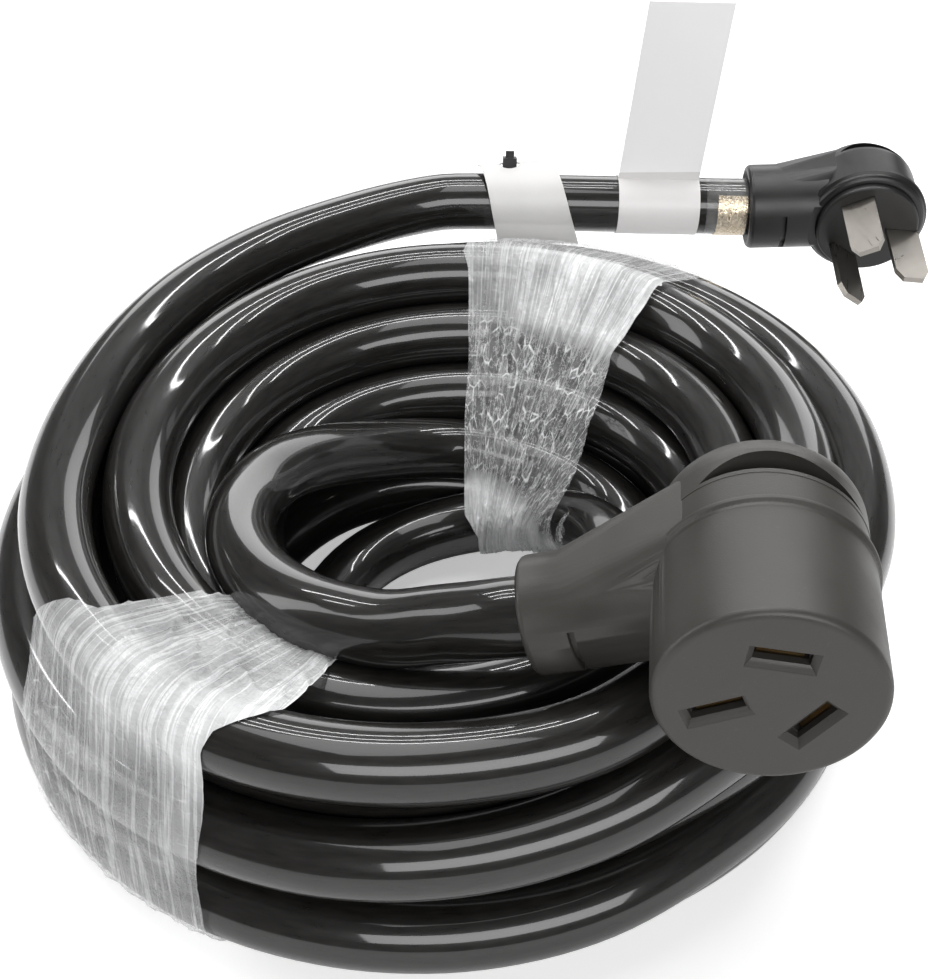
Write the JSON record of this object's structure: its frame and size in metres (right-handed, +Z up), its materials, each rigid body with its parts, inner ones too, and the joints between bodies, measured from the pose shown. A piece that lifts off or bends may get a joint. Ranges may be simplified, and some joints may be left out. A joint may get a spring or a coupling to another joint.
{
  "type": "shore power cord",
  "caption": "Coiled heavy power cord with a right-angle bladed plug at one end, a right-angle slotted connector at the other, bands of clear film and blank labels.",
  "frame": {"origin": "middle of the footprint's bounding box, on the surface that the coil lies on", "axes": "+Z up, out of the lying coil; +X along the longest extent, towards the side where the plug stands out; the plug's blades and the connector's slotted face point towards -Y"},
  "size_m": [0.3573, 0.3466, 0.175],
  "materials": {
    "cable_jacket": "glossy black PVC jacket",
    "moulding": "matt dark-grey moulded PVC",
    "carrier": "black moulded nylon",
    "contact_block": "black moulded nylon",
    "blade_nickel": "satin nickel plate on brass",
    "core_white": "white core insulation",
    "core_black": "black core insulation",
    "core_red": "red core insulation",
    "contact_brass": "plain brass strip",
    "spring_steel": "bright spring steel",
    "film": "clear stretch film",
    "label": "coated white label stock",
    "tape": "clear adhesive tape",
    "gold_foil": "gold-coloured foil",
    "tag": "white synthetic paper",
    "tie": "black nylon"
  },
  "bodies": {
    "cord": {"cable_coil": "cable_jacket", "cable_lead_plug": "cable_jacket", "cable_lead_connector": "cable_jacket", "plug_housing": "moulding", "plug_blade_carrier": "carrier", "plug_blade_neutral": "blade_nickel", "plug_blade_hot_a": "blade_nickel", "plug_blade_hot_b": "blade_nickel", "plug_core_white": "core_white", "plug_core_black": "core_black", "plug_core_red": "core_red", "connector_housing": "moulding", "connector_contact_block": "contact_block", "connector_contact_neutral": "contact_brass", "connector_contact_hot_a": "contact_brass", "connector_contact_hot_b": "contact_brass", "connector_spring_neutral": "spring_steel", "connector_spring_hot_a": "spring_steel", "connector_spring_hot_b": "spring_steel", "connector_core_white": "core_white", "connector_core_black": "core_black", "connector_core_red": "core_red", "film_wrap_front": "film", "film_wrap_back": "film", "flag_label": "label", "clear_tape": "tape", "foil_sticker": "gold_foil"},
    "tag": {"hang_tag": "tag", "cable_tie": "tie"}
  },
  "joints": [
    {"name": "tag_turn", "type": "hinge", "parent": "cord", "child": "tag", "pos_m": [0.0091, 0.15241, 0.08899], "axis": [-0.9994, -0.0161, 0.0312], "range_deg": [0, 180]}
  ]
}
